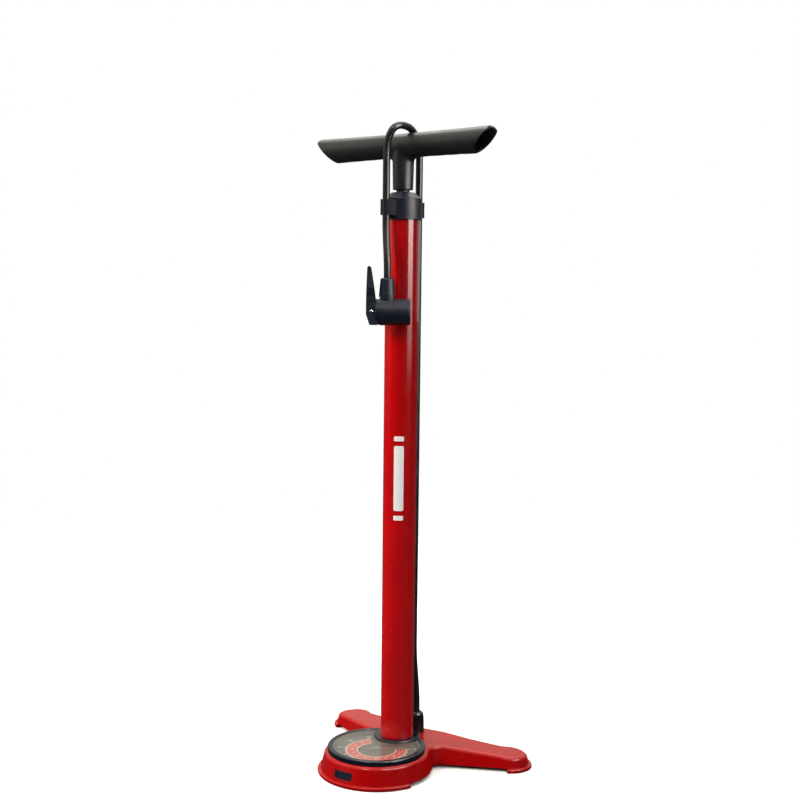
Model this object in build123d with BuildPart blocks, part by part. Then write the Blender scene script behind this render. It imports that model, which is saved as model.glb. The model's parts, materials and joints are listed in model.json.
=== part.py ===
"""Floor pump for bicycle tyres.

Millimetres, +Z up. The origin is on the barrel's axis at ground level. The gauge
stands in front of the barrel, towards -Y. The two legs reach back and out to each
side, and the handle bar lies along X.
"""

from build123d import *
from math import copysign, cos, hypot, pi, radians, sin
import os

os.makedirs("parts", exist_ok=True)

# Barrel
BARREL_R = 17.5
BARREL_WALL = 1.2
BORE_R = BARREL_R - BARREL_WALL
BARREL_LOW = 15.1
BARREL_HIGH = 594.0

# Foot: a thin-walled pressing with a round dish under the gauge and two legs
GAUGE_Y = -36.0
FOOT_WALL = 2.0
DRAFT = 14.0
DECK_Z = 22.0
DISH_R = 59.4
DISH_FLANGE_R = 61.5
LEG_TIP_X = 104.2
LEG_TIP_Y = 60.0
LEG_TIP_R = 21.6
LEG_TIP_FLANGE_R = 23.6
LEG_SLOPE = 5.6
LEG_SLOPE_START = 47.0
FLANGE_T = 3.6
FLANGE_EDGE_R = 1.2
TOP_EDGE_R = 4.0
PLAN_CORNER_R = 9.0
PLUG_WIDTH = 21.4
PLUG_HEIGHT = 7.2
PLUG_Z = 11.0
PLUG_DEPTH = 5.0
PLUG_PROUD = 0.4

# Gauge
CASE_R = 46.2
CASE_WALL = 1.5
CASE_LOW = 7.0
BEZEL_R = 51.1
BEZEL_LIP_R = 46.0
BEZEL_TOP = 27.4
LENS_LOW = 25.2
LENS_T = 1.6
LENS_R = 46.9
COLLAR_R = 24.6
COLLAR_TOP = 28.5
DIAL_Z = 20.5
DIAL_T = 0.7
NEEDLE_Z = 22.4
NEEDLE_T = 0.7
NEEDLE_LENGTH = 30.0
NEEDLE_ZERO = 40.0
ARBOR_R = 0.75
ARBOR_LOW = 10.0

# Base block, check valve and hose connection
HUB_R = 21.0
HUB_TOP = COLLAR_TOP - 2.5
BLOCK_LOW = 4.0
BLOCK_T = 4.0
BOSS_R = 11.0
SOCKET_FLOOR = 15.0
FIT_GAP = 0.05
CHAMBER_R = 6.0
CHAMBER_FLOOR = 7.0
PASSAGE_R = 1.8
PASSAGE_Z = 9.5
OUTLET_Y = 35.5
SCREW_X = 27.0
SCREW_Y = 24.0
SCREW_SPAN = 15.0
SCREW_MID_Y = SCREW_Y + SCREW_SPAN / 2
SCREW_HEAD_R = 3.4
SCREW_HEAD_T = 2.2
SCREW_R = 1.5
SCREW_LENGTH = 12.2
POST_R = 3.6
SEAT_T = 6.0
BARB_R = 4.0
BARB_LOW = 12.05
BARB_TOP = 38.0
BOOT_LOW_R = 8.7
BOOT_TOP_R = 5.5
BOOT_TOP = 44.0

# Cap and clips
CAP_LOW = 573.5
CAP_R = 20.3
CAP_SHOULDER_Z = 595.0
CAP_TOP = 601.5
CAP_TOP_R = 11.9
CLIP_LOW = 577.0
CLIP_HIGH = 593.0
CLIP_HALF_WIDTH = 5.6
CLIP_REACH = 31.0
HOSE_Y = 28.7
GASKET_T = 1.5
BUSH_LOW = 588.0
BUSH_NECK_R = 6.95
BUMPER_R = 6.85

# Rod and piston, drawn with the handle pushed right down
ROD_R = 4.0
ROD_GAP = 0.05
ROD_LOW = 29.5
ROD_HIGH = 640.0
PISTON_LOW = 38.0
PISTON_HIGH = 52.0
PISTON_R = BORE_R - 0.1
SEAL_GROOVE_R = 13.0
SEAL_LOW = PISTON_LOW + 4
SEAL_HIGH = PISTON_LOW + 7.5
ROD_THREAD_R = 3.0
WASHER_R = 9.0
WASHER_T = 1.5
PISTON_NUT_R = 5.0
PISTON_NUT_T = 5.0

# Handle
HANDLE_Z = 649.4
HANDLE_MID_R = 12.4
HANDLE_END_R = 13.6
HANDLE_HALF = 99.0
HANDLE_BLANK_HALF = 120.0
HANDLE_HOLLOW_DEPTH = 22.0
HANDLE_WALL = 2.9
FINGER_GROOVE_XS = (32.0, 50.0, 68.0)
FINGER_GROOVE_R = 67.0
FINGER_GROOVE_DEPTH = 0.6
HANDLE_END_SLOPE = 0.948
HANDLE_TIP_R = 3.5
STEM_LOW = 604.6
STEM_R = 10.6
STEM_TOP_R = 11.6
STEM_BLEND_R = 7.0
ROD_NUT_LOW = 612.0
ROD_NUT_R = 6.5
ROD_NUT_T = 6.5

# Hose
HOSE_R = 3.75
HOSE_BORE_R = 2.2
HOSE_LOW = DECK_Z + 2.7
HOSE_END_RISE = 16.0
LOOP_LOW = 640.0
LOOP_RISE = 27.8
LOOP_SIDE = 10.2
LOOP_SQUARENESS = 2.6

# Pump head: hangs in front of the barrel and is turned about Z
HEAD_TURN = 36.1
HEAD_X = 6.9
HEAD_Y = -34.6
HEAD_Z = 478.8
HEAD_R = 13.85
HEAD_REAR = -12.5
HEAD_REAR_EDGE_R = 2.8
HEAD_CAP_START = 6.9
HEAD_CAP_END = 23.7
HEAD_CAP_R = 13.4
HEAD_NECK_R = 8.7
HEAD_NECK_TOP = 15.0
HEAD_SPIGOT_END = 14.0
HEAD_SPIGOT_R = 11.0
CHAMBER_BORE_R = 9.5
STEM_GUIDE_R = 3.95
STEM_GUIDE_END = -1.5
CHEEK_HALF = 10.4
COLLAR_LOW_R = 8.4
COLLAR_HIGH_R = 7.0
HOSE_COLLAR_TOP = 34.2
COLLAR_EDGE_R = 2.0
PIN_AT = -15.7
PIN_R = 2.2
SLOT_HALF = 4.6
SLOT_END = -7.5
LEVER_HALF = 6.6
LEVER_TIP = 46.0
VALVE_HOLE_R = 4.3
GASKET_BORE_R = 4.0
GASKET_START = 6.7
GASKET_END = 20.5
CAM_START = 4.55
CAM_RISE = 3.0 / (pi / 2)


# A primitive standing on its location rather than centred on it
STAND = (Align.CENTER, Align.CENTER, Align.MIN)


def save(piece, name):
    """Label a finished piece and write it as parts/NAME.step."""
    piece.part.label = name
    export_step(piece.part, f"parts/{name}.step")


def upright_plane(x, y, angle):
    """A vertical plane through (x, y): its own x points out at angle, its own y is up."""
    out = (cos(radians(angle)), sin(radians(angle)), 0)
    normal = (sin(radians(angle)), -cos(radians(angle)), 0)
    return Plane(origin=(x, y, 0), x_dir=out, z_dir=normal)


GAUGE_AXIS = Axis((0, GAUGE_Y, 0), (0, 0, 1))
HEAD_SIDE = Plane(
    origin=(HEAD_X, HEAD_Y, HEAD_Z),
    x_dir=(cos(radians(HEAD_TURN)), sin(radians(HEAD_TURN)), 0),
    z_dir=(sin(radians(HEAD_TURN)), -cos(radians(HEAD_TURN)), 0),
)
HEAD_AXIS = Axis(HEAD_SIDE.origin, HEAD_SIDE.x_dir)
HEAD_UP = Plane(origin=HEAD_SIDE.origin, x_dir=HEAD_SIDE.x_dir, z_dir=(0, 0, 1))


# ---------------------------------------------------------------- foot

def edge_middle(edge):
    """An edge's centre, rounded so that two faces' shared edges compare equal."""
    return tuple(round(v, 3) for v in edge.center())


def foot_form(inset):
    """The drafted solid of dish and legs, drawn inset inside its outer surface."""
    deck = DECK_Z - inset
    with BuildPart() as form:
        with BuildSketch() as outline:
            with Locations((0, GAUGE_Y)):
                Circle(DISH_R)
            for side in (1, -1):
                with BuildLine():
                    Polyline(
                        (0, -20),
                        (side * 38, 2.5),
                        (side * 109, 39),
                        (side * LEG_TIP_X, LEG_TIP_Y),
                        (side * 99, 76.5),
                        (side * 55, 64.5),
                        (0, 55.5),
                        close=True,
                    )
                make_face()
                with Locations((side * LEG_TIP_X, LEG_TIP_Y)):
                    Circle(LEG_TIP_R)
            fillet(outline.vertices(), PLAN_CORNER_R)
            offset(amount=-inset)
        extrude(amount=deck, taper=DRAFT)
        for side in (1, -1):
            turn = radians(LEG_SLOPE)
            reach = hypot(LEG_TIP_X, LEG_TIP_Y)
            along = (side * LEG_TIP_X / reach, LEG_TIP_Y / reach)
            downhill = (along[0] * cos(turn), along[1] * cos(turn), -sin(turn))
            uphill = (along[0] * sin(turn), along[1] * sin(turn), cos(turn))
            start = (along[0] * LEG_SLOPE_START, along[1] * LEG_SLOPE_START, deck)
            with Locations(Plane(origin=start, x_dir=downhill, z_dir=uphill)):
                Box(160, 160, 30, align=(Align.MIN, Align.CENTER, Align.MIN), mode=Mode.SUBTRACT)
        tops = form.faces().filter_by(lambda face: face.normal_at().Z > 0.99)
        middles = [edge_middle(edge) for face in tops for edge in face.edges()]
        rim = form.edges().filter_by(lambda edge: middles.count(edge_middle(edge)) == 1)
        fillet(rim, TOP_EDGE_R - inset)
    return form.part


def flange(x, y, wall_r, outer_r, start, sweep_angle):
    """A foot flange: a flat ring sector round (x, y), from start through sweep_angle."""
    first = upright_plane(x, y, start)
    with BuildPart() as rim:
        with BuildSketch(first) as section:
            with Locations((wall_r, 0)):
                Rectangle(outer_r - wall_r, FLANGE_T, align=(Align.MIN, Align.MIN))
            fillet(section.vertices().sort_by(Axis.X)[-2:], FLANGE_EDGE_R)
        revolve(axis=Axis((x, y, 0), (0, 0, 1)), revolution_arc=sweep_angle)
    return rim.part


outer_form = foot_form(0)
inner_form = foot_form(FOOT_WALL)

with BuildPart() as foot:
    add(outer_form)
    add(inner_form, mode=Mode.SUBTRACT)
    # The walls stop above the ground between the flanges
    Box(400, 400, 2 * FLANGE_T, mode=Mode.SUBTRACT)
    add(flange(0, GAUGE_Y, 56.6, DISH_FLANGE_R, -162, 144))
    for side in (1, -1):
        first_angle = -64 if side == 1 else 42
        add(flange(side * LEG_TIP_X, LEG_TIP_Y, 18.8, LEG_TIP_FLANGE_R, first_angle, 202))
    # Openings in the deck for the gauge and for the neck of the base block
    with Locations((0, GAUGE_Y, DECK_Z)):
        Cylinder(CASE_R + 0.3, 10, mode=Mode.SUBTRACT)
    with Locations((0, 0, DECK_Z)):
        Cylinder(HUB_R + 0.5, 10, mode=Mode.SUBTRACT)
    with Locations((0, OUTLET_Y, DECK_Z)):
        Cylinder(6.0, 10, mode=Mode.SUBTRACT)
    # Slot for the plug in the front wall
    with Locations((0, GAUGE_Y - DISH_R, PLUG_Z)):
        Box(PLUG_WIDTH + 0.2, 20, PLUG_HEIGHT + 0.2, mode=Mode.SUBTRACT)
    # Four hollow posts under the deck take the base block's screws
    with BuildSketch(Plane.XY.offset(BLOCK_LOW + BLOCK_T + 0.1)):
        with Locations((0, SCREW_MID_Y)):
            with GridLocations(2 * SCREW_X, SCREW_SPAN, 2, 2):
                Circle(POST_R)
    extrude(until=Until.NEXT)
    with Locations((0, SCREW_MID_Y, BLOCK_LOW + BLOCK_T + 0.1)):
        with GridLocations(2 * SCREW_X, SCREW_SPAN, 2, 2):
            Cylinder(SCREW_R + FIT_GAP, 9.0, align=STAND, mode=Mode.SUBTRACT)
save(foot, "foot")

with BuildPart() as front_plug:
    wall_lean = sin(radians(DRAFT))
    with BuildSketch(upright_plane(0, GAUGE_Y, -110)):
        Polygon(
            (DISH_R - 5 * wall_lean - PLUG_DEPTH, 5),
            (DISH_R - 5 * wall_lean + PLUG_PROUD, 5),
            (DISH_R - 17 * wall_lean + PLUG_PROUD, 17),
            (DISH_R - 17 * wall_lean - PLUG_DEPTH, 17),
            align=None,
        )
    revolve(axis=GAUGE_AXIS, revolution_arc=40)
    with BuildSketch(Plane.XZ.offset(-GAUGE_Y + DISH_R + 6)):
        with Locations((0, PLUG_Z)):
            RectangleRounded(PLUG_WIDTH, PLUG_HEIGHT, 1.6)
    extrude(amount=-20, mode=Mode.INTERSECT)
save(front_plug, "front_plug")

# ---------------------------------------------------------------- base block and valve

with BuildPart() as base_block:
    with BuildSketch(Plane.XY.offset(BLOCK_LOW)):
        Circle(HUB_R)
    extrude(amount=HUB_TOP - BLOCK_LOW)
    with BuildSketch(Plane.XY.offset(BLOCK_LOW)):
        with Locations((0, SCREW_MID_Y)):
            RectangleRounded(2 * SCREW_X + 11, SCREW_SPAN + 14, 5)
    extrude(amount=BLOCK_T)
    # A boss under the barrel stands on the ground and takes the thrust of the stroke
    Cylinder(BOSS_R, BLOCK_LOW, align=STAND)
    with Locations((0, OUTLET_Y, BLOCK_LOW)):
        Cylinder(7.0, 15.8, align=STAND)
    with Locations((0, OUTLET_Y / 2, PASSAGE_Z - 1)):
        Box(9, OUTLET_Y, 9)
    # Socket for the barrel, chamber for the check valve
    with Locations((0, 0, SOCKET_FLOOR)):
        Cylinder(BARREL_R + FIT_GAP, 30, align=STAND, mode=Mode.SUBTRACT)
    with Locations((0, 0, CHAMBER_FLOOR)):
        Cylinder(CHAMBER_R, 20, align=STAND, mode=Mode.SUBTRACT)
    # Air passages back to the hose and forward to the gauge
    with BuildSketch(Plane.XZ.offset(-OUTLET_Y)):
        with Locations((0, PASSAGE_Z)):
            Circle(PASSAGE_R)
    extrude(amount=OUTLET_Y, mode=Mode.SUBTRACT)
    with Locations((0, OUTLET_Y, PASSAGE_Z)):
        Cylinder(PASSAGE_R, 20, align=STAND, mode=Mode.SUBTRACT)
    with Locations((0, OUTLET_Y, 12)):
        Cylinder(BARB_R + 0.02, 20, align=STAND, mode=Mode.SUBTRACT)
    with BuildSketch(Plane.XZ):
        with Locations((0, PASSAGE_Z)):
            Circle(1.2)
    extrude(amount=HUB_R + 2, mode=Mode.SUBTRACT)
    with BuildSketch(Plane.XZ.offset(18.4)):
        with Locations((0, PASSAGE_Z)):
            Circle(2.42)
    extrude(amount=5, mode=Mode.SUBTRACT)
    with Locations((0, SCREW_MID_Y, BLOCK_LOW)):
        with GridLocations(2 * SCREW_X, SCREW_SPAN, 2, 2):
            Cylinder(2.1, 20, mode=Mode.SUBTRACT)
save(base_block, "base_block")

with BuildPart() as base_screws:
    with Locations((0, SCREW_MID_Y, 0)):
        with GridLocations(2 * SCREW_X, SCREW_SPAN, 2, 2):
            with Locations((0, 0, BLOCK_LOW - SCREW_HEAD_T)):
                Cylinder(SCREW_HEAD_R, SCREW_HEAD_T, align=STAND)
                Cylinder(SCREW_R, SCREW_LENGTH, align=STAND)
                Box(4.2, 0.9, 1.6, mode=Mode.SUBTRACT)
                Box(0.9, 4.2, 1.6, mode=Mode.SUBTRACT)
save(base_screws, "base_screws")

with BuildPart() as valve_seat:
    with Locations((0, 0, SOCKET_FLOOR + 0.02)):
        Cylinder(BORE_R - 0.1, SEAT_T, align=STAND)
        Cylinder(2.5, 30, mode=Mode.SUBTRACT)
    with BuildSketch(Plane.XZ):
        with Locations((BORE_R, SOCKET_FLOOR + SEAT_T / 2)):
            Rectangle(4, 2)
    revolve(axis=Axis.Z, mode=Mode.SUBTRACT)
save(valve_seat, "valve_seat")

with BuildPart() as barrel_seal:
    with Locations((0, 0, SOCKET_FLOOR + SEAT_T / 2)):
        Torus(BORE_R - 0.97, 0.95)
save(barrel_seal, "barrel_seal")

with BuildPart() as check_valve:
    with Locations((0, 0, 13.2)):
        Cylinder(4.6, 1.75, align=STAND)
    with Locations((0, 0, 10.8)):
        Cylinder(1.6, 2.4, align=STAND)
save(check_valve, "check_valve")

with BuildPart() as valve_spring:
    with BuildLine():
        coil = Helix(1.45, 5.2, 2.6, center=(0, 0, 7.45))
    with BuildSketch(Plane(origin=coil @ 0, z_dir=coil % 0)):
        Circle(0.35)
    sweep(path=coil, is_frenet=True)
save(valve_spring, "valve_spring")

# ---------------------------------------------------------------- gauge

with BuildPart() as gauge_case:
    with BuildSketch(Plane.XY.offset(CASE_LOW)):
        with Locations((0, GAUGE_Y)):
            Circle(CASE_R)
        Circle(HUB_R + 1.6, mode=Mode.SUBTRACT)
    extrude(amount=LENS_LOW - FIT_GAP - CASE_LOW)
    with BuildSketch(Plane.XY.offset(CASE_LOW + CASE_WALL)):
        with Locations((0, GAUGE_Y)):
            Circle(CASE_R - CASE_WALL)
        Circle(HUB_R + 3.1, mode=Mode.SUBTRACT)
    extrude(amount=30, mode=Mode.SUBTRACT)
    # The wall behind the collar stops under it
    with Locations((0, 0, DECK_Z - 0.1)):
        Cylinder(COLLAR_R + 0.4, 20, align=STAND, mode=Mode.SUBTRACT)
    with Locations((0, GAUGE_Y, CASE_LOW)):
        with PolarLocations(22, 3, start_angle=-90):
            Cylinder(2.5, DIAL_Z - FIT_GAP - CASE_LOW, align=STAND)
    with BuildSketch(Plane.XZ.offset(HUB_R)):
        with Locations((0, PASSAGE_Z)):
            Circle(2.5)
    extrude(amount=6, mode=Mode.SUBTRACT)
save(gauge_case, "gauge_case")

with BuildPart() as gauge_inlet:
    with BuildSketch(Plane.XZ.offset(18.5)):
        with Locations((0, PASSAGE_Z)):
            Circle(2.4)
            Circle(0.8, mode=Mode.SUBTRACT)
    extrude(amount=7.3)
save(gauge_inlet, "gauge_inlet")

with BuildPart() as bourdon_coil:
    with BuildLine():
        coil = Helix(2.7, 6.75, 9.0, center=(0, GAUGE_Y, 9.8))
    with BuildSketch(Plane(origin=coil @ 0, z_dir=coil % 0)):
        Circle(1.05)
    sweep(path=coil, is_frenet=True)
save(bourdon_coil, "bourdon_coil")

with BuildPart() as gauge_dial:
    with BuildSketch(Plane.XY.offset(DIAL_Z)):
        with Locations((0, GAUGE_Y)):
            Circle(CASE_R - CASE_WALL - 0.2)
            Circle(ARBOR_R + 0.45, mode=Mode.SUBTRACT)
        Circle(COLLAR_R + 0.3, mode=Mode.SUBTRACT)
    extrude(amount=DIAL_T)
save(gauge_dial, "gauge_dial")

with BuildPart() as gauge_needle:
    with BuildSketch(Plane.XY.offset(NEEDLE_Z)):
        with Locations(Location((0, GAUGE_Y, 0), NEEDLE_ZERO)):
            Circle(3.2)
            Polygon(
                (-9, 1.3),
                (0, 1.5),
                (NEEDLE_LENGTH, 0.25),
                (NEEDLE_LENGTH, -0.25),
                (0, -1.5),
                (-9, -1.3),
                align=None,
            )
            Circle(ARBOR_R + FIT_GAP, mode=Mode.SUBTRACT)
    extrude(amount=NEEDLE_T)
save(gauge_needle, "gauge_needle")

with BuildPart() as needle_arbor:
    with Locations((0, GAUGE_Y, ARBOR_LOW)):
        Cylinder(ARBOR_R, NEEDLE_Z + 2 * NEEDLE_T - ARBOR_LOW, align=STAND)
    with Locations((0, GAUGE_Y, NEEDLE_Z + NEEDLE_T + FIT_GAP)):
        Cylinder(2.4, 1.2, align=STAND)
    with Locations((4.6, GAUGE_Y, 18.2)):
        Box(9.2, 1.6, 1.0)
save(needle_arbor, "needle_arbor")

with BuildPart() as gauge_lens:
    with BuildSketch(Plane.XY.offset(LENS_LOW)):
        with Locations((0, GAUGE_Y)):
            Circle(LENS_R)
        Circle(COLLAR_R + 0.1, mode=Mode.SUBTRACT)
    extrude(amount=LENS_T)
save(gauge_lens, "gauge_lens")

with BuildPart() as gauge_bezel:
    with BuildSketch(upright_plane(0, GAUGE_Y, 0)):
        with BuildLine():
            Polyline(
                (BEZEL_LIP_R, LENS_LOW + LENS_T + 0.05),
                (LENS_R + 0.1, LENS_LOW + LENS_T + 0.05),
                (LENS_R + 0.1, DECK_Z + 0.02),
                (BEZEL_R, DECK_Z + 0.02),
                (BEZEL_R, BEZEL_TOP - 1.6),
            )
            ThreePointArc(
                (BEZEL_R, BEZEL_TOP - 1.6),
                (BEZEL_R - 0.5, BEZEL_TOP - 0.5),
                (BEZEL_R - 1.6, BEZEL_TOP),
            )
            Polyline(
                (BEZEL_R - 1.6, BEZEL_TOP),
                (BEZEL_LIP_R + 0.4, BEZEL_TOP),
                (BEZEL_LIP_R, LENS_LOW + LENS_T + 0.05),
            )
        make_face()
    revolve(axis=GAUGE_AXIS)
    with Locations((0, 0, DECK_Z + 0.02)):
        Cylinder(COLLAR_R, COLLAR_TOP - DECK_Z - 0.02, align=STAND)
    fillet(gauge_bezel.edges().filter_by(GeomType.CIRCLE).sort_by(Axis.Z)[-1], 1.0)
    with Locations((0, 0, DECK_Z)):
        Cylinder(BARREL_R + FIT_GAP, 20, mode=Mode.SUBTRACT)
    with Locations((0, 0, DECK_Z - 1)):
        Cylinder(HUB_R + 0.1, HUB_TOP + FIT_GAP - DECK_Z + 1, align=STAND, mode=Mode.SUBTRACT)
save(gauge_bezel, "gauge_bezel")

# ---------------------------------------------------------------- barrel, cap and bush

with BuildPart() as barrel_tube:
    with BuildSketch(Plane.XY.offset(BARREL_LOW)):
        Circle(BARREL_R)
        Circle(BORE_R, mode=Mode.SUBTRACT)
    extrude(amount=BARREL_HIGH - BARREL_LOW)
save(barrel_tube, "barrel_tube")

with BuildPart() as top_cap:
    with BuildSketch(Plane.XZ):
        with BuildLine():
            Polyline(
                (BUSH_NECK_R + FIT_GAP, CAP_TOP),
                (CAP_TOP_R, CAP_TOP),
                (CAP_R, CAP_SHOULDER_Z),
                (CAP_R, CAP_LOW),
                (BARREL_R + FIT_GAP, CAP_LOW),
                (BARREL_R + FIT_GAP, BARREL_HIGH + GASKET_T + 2 * FIT_GAP),
                (BUSH_NECK_R + FIT_GAP, BARREL_HIGH + GASKET_T + 2 * FIT_GAP),
                close=True,
            )
        make_face()
    revolve(axis=Axis.Z)
    for side in (1, -1):
        with BuildSketch(Plane.XY.offset(CLIP_LOW)):
            with Locations((0, side * (CLIP_REACH + CAP_R - 1.5) / 2)):
                Rectangle(2 * CLIP_HALF_WIDTH, CLIP_REACH - CAP_R + 1.5)
            with Locations((0, side * HOSE_Y)):
                Circle(HOSE_R + 0.1, mode=Mode.SUBTRACT)
        extrude(amount=CLIP_HIGH - CLIP_LOW)
    circles = top_cap.edges().filter_by(GeomType.CIRCLE)
    fillet(circles.filter_by_position(Axis.Z, CAP_SHOULDER_Z - 0.1, CAP_SHOULDER_Z + 0.1), 1.2)
save(top_cap, "top_cap")

with BuildPart() as cap_gasket:
    with BuildSketch(Plane.XY.offset(BARREL_HIGH + FIT_GAP)):
        Circle(BARREL_R - 0.1)
        Circle(11, mode=Mode.SUBTRACT)
    extrude(amount=GASKET_T)
save(cap_gasket, "cap_gasket")

with BuildPart() as rod_bush:
    with BuildSketch(Plane.XY.offset(BUSH_LOW)):
        Circle(BORE_R - 0.1)
    extrude(amount=BARREL_HIGH - BUSH_LOW)
    with BuildSketch(Plane.XY.offset(BUSH_LOW)):
        Circle(BUSH_NECK_R)
    extrude(amount=CAP_TOP - 0.2 - BUSH_LOW)
    Cylinder(ROD_R + ROD_GAP, 2000, mode=Mode.SUBTRACT)
save(rod_bush, "rod_bush")

with BuildPart() as stroke_bumper:
    with BuildSketch(Plane.XY.offset(CAP_TOP + FIT_GAP)):
        Circle(BUMPER_R)
        Circle(ROD_R + 0.2, mode=Mode.SUBTRACT)
    extrude(amount=STEM_LOW - CAP_TOP - 0.15)
save(stroke_bumper, "stroke_bumper")

# ---------------------------------------------------------------- rod and piston

with BuildPart() as piston_rod:
    with BuildSketch(Plane.XZ):
        with BuildLine():
            Polyline(
                (0, ROD_LOW),
                (ROD_THREAD_R - 0.4, ROD_LOW),
                (ROD_THREAD_R, ROD_LOW + 0.4),
                (ROD_THREAD_R, PISTON_HIGH),
                (ROD_R, PISTON_HIGH + FIT_GAP),
                (ROD_R, ROD_HIGH - 1),
                (ROD_R - 1, ROD_HIGH),
                (0, ROD_HIGH),
                close=True,
            )
        make_face()
    revolve(axis=Axis.Z)
save(piston_rod, "piston_rod")

with BuildPart() as piston:
    with BuildSketch(Plane.XZ):
        Polygon(
            (ROD_THREAD_R + 0.03, PISTON_LOW),
            (PISTON_R, PISTON_LOW),
            (PISTON_R, SEAL_LOW),
            (SEAL_GROOVE_R, SEAL_LOW),
            (SEAL_GROOVE_R, SEAL_HIGH),
            (PISTON_R, SEAL_HIGH),
            (PISTON_R, PISTON_HIGH - 2),
            (PISTON_R - 2, PISTON_HIGH),
            (ROD_THREAD_R + 0.03, PISTON_HIGH),
            align=None,
        )
    revolve(axis=Axis.Z)
save(piston, "piston")

with BuildPart() as piston_seal:
    with BuildSketch(Plane.XZ):
        Polygon(
            (SEAL_GROOVE_R + FIT_GAP, SEAL_LOW + FIT_GAP),
            (BORE_R - 0.04, SEAL_LOW + FIT_GAP),
            (BORE_R - 0.04, SEAL_LOW + 1.2),
            (BORE_R - 0.5, SEAL_HIGH - 0.1),
            (SEAL_GROOVE_R + FIT_GAP, SEAL_HIGH - 0.1),
            align=None,
        )
    revolve(axis=Axis.Z)
save(piston_seal, "piston_seal")

with BuildPart() as piston_washer:
    with BuildSketch(Plane.XY.offset(PISTON_LOW - FIT_GAP)):
        Circle(WASHER_R)
        Circle(ROD_THREAD_R + FIT_GAP, mode=Mode.SUBTRACT)
    extrude(amount=-WASHER_T)
save(piston_washer, "piston_washer")

with BuildPart() as piston_nut:
    with BuildSketch(Plane.XY.offset(PISTON_LOW - WASHER_T - 2 * FIT_GAP - PISTON_NUT_T)):
        RegularPolygon(PISTON_NUT_R, 6, major_radius=False)
        Circle(ROD_THREAD_R + 0.02, mode=Mode.SUBTRACT)
    extrude(amount=PISTON_NUT_T)
    chamfer(piston_nut.edges().filter_by(GeomType.LINE).group_by(Axis.Z)[0], 0.4)
save(piston_nut, "piston_nut")

# ---------------------------------------------------------------- handle

with BuildPart() as handle:
    bar_plane = Plane(origin=(0, 0, HANDLE_Z), x_dir=(1, 0, 0), z_dir=(0, -1, 0))
    bar_axis = Axis((0, 0, HANDLE_Z), (1, 0, 0))
    with BuildSketch(bar_plane):
        with BuildLine():
            Line((-HANDLE_BLANK_HALF, 0), (HANDLE_BLANK_HALF, 0))
            Line((HANDLE_BLANK_HALF, 0), (HANDLE_BLANK_HALF, HANDLE_END_R))
            Spline(
                (HANDLE_BLANK_HALF, HANDLE_END_R),
                (0, HANDLE_MID_R),
                (-HANDLE_BLANK_HALF, HANDLE_END_R),
            )
            Line((-HANDLE_BLANK_HALF, HANDLE_END_R), (-HANDLE_BLANK_HALF, 0))
        make_face()
    revolve(axis=bar_axis)
    for side in (1, -1):
        # Shallow finger grooves along the underside
        for x in FINGER_GROOVE_XS:
            swell = (HANDLE_END_R - HANDLE_MID_R) * (x / HANDLE_BLANK_HALF) ** 2
            underside = HANDLE_Z - HANDLE_MID_R - swell
            with Locations((side * x, 0, underside + FINGER_GROOVE_DEPTH - FINGER_GROOVE_R)):
                Cylinder(FINGER_GROOVE_R, 60, rotation=(90, 0, 0), mode=Mode.SUBTRACT)
    with BuildSketch(Plane.XZ):
        Polygon((0, STEM_LOW), (STEM_R, STEM_LOW), (STEM_TOP_R, HANDLE_Z), (0, HANDLE_Z), align=None)
    revolve(axis=Axis.Z)
    # The stem runs into the bar in a smooth flare
    junction = handle.edges().filter_by(GeomType.BSPLINE)
    fillet(junction.filter_by(lambda edge: abs(edge.center().X) <= STEM_TOP_R), STEM_BLEND_R)
    # Each end is cut on a slant, longer on top, with its upper corner rounded
    drop = HANDLE_Z - STEM_LOW + 1
    low_half = HANDLE_HALF - drop * HANDLE_END_SLOPE
    high_half = HANDLE_HALF + HANDLE_END_R * HANDLE_END_SLOPE
    with BuildSketch(Plane.XZ) as ends:
        with Locations((0, HANDLE_Z)):
            Polygon(
                (-low_half, -drop),
                (low_half, -drop),
                (high_half, HANDLE_END_R),
                (-high_half, HANDLE_END_R),
                align=None,
            )
        fillet(ends.vertices().group_by(Axis.Y)[-1], HANDLE_TIP_R)
    extrude(amount=40, both=True, mode=Mode.INTERSECT)
    for side in (1, -1):
        with BuildSketch(Plane.YZ.offset(side * (HANDLE_HALF - HANDLE_HOLLOW_DEPTH))):
            with Locations((0, HANDLE_Z)):
                Circle(HANDLE_END_R - HANDLE_WALL)
        extrude(amount=side * 50, mode=Mode.SUBTRACT)
    # Bore for the rod, and the pocket of the nut that holds it
    Cylinder(ROD_R + 0.02, ROD_HIGH + 0.1, align=STAND, mode=Mode.SUBTRACT)
    with BuildSketch(Plane.XY.offset(ROD_NUT_LOW)):
        RegularPolygon(ROD_NUT_R + FIT_GAP, 6, major_radius=False)
    extrude(amount=ROD_NUT_T + 2 * FIT_GAP, mode=Mode.SUBTRACT)
save(handle, "handle")

with BuildPart() as rod_nut:
    with BuildSketch(Plane.XY.offset(ROD_NUT_LOW + FIT_GAP)):
        RegularPolygon(ROD_NUT_R, 6, major_radius=False)
        Circle(ROD_R + 0.02, mode=Mode.SUBTRACT)
    extrude(amount=ROD_NUT_T)
save(rod_nut, "rod_nut")

# ---------------------------------------------------------------- hose

def loop_point(angle):
    """Centre of the hose where it loops over the handle, from the back leg (0) to the front leg (pi).

    The loop is a rounded arch that leans to one side, so that it passes beside the rod.
    """
    turn = radians(HEAD_TURN)
    across = copysign(abs(cos(angle)) ** (2 / LOOP_SQUARENESS), cos(angle))
    x = LOOP_SIDE * (1 - across**2)
    y = HOSE_Y * across - x * cos(turn) / sin(turn)
    return (x, y, LOOP_LOW + LOOP_RISE * sin(angle))


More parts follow.
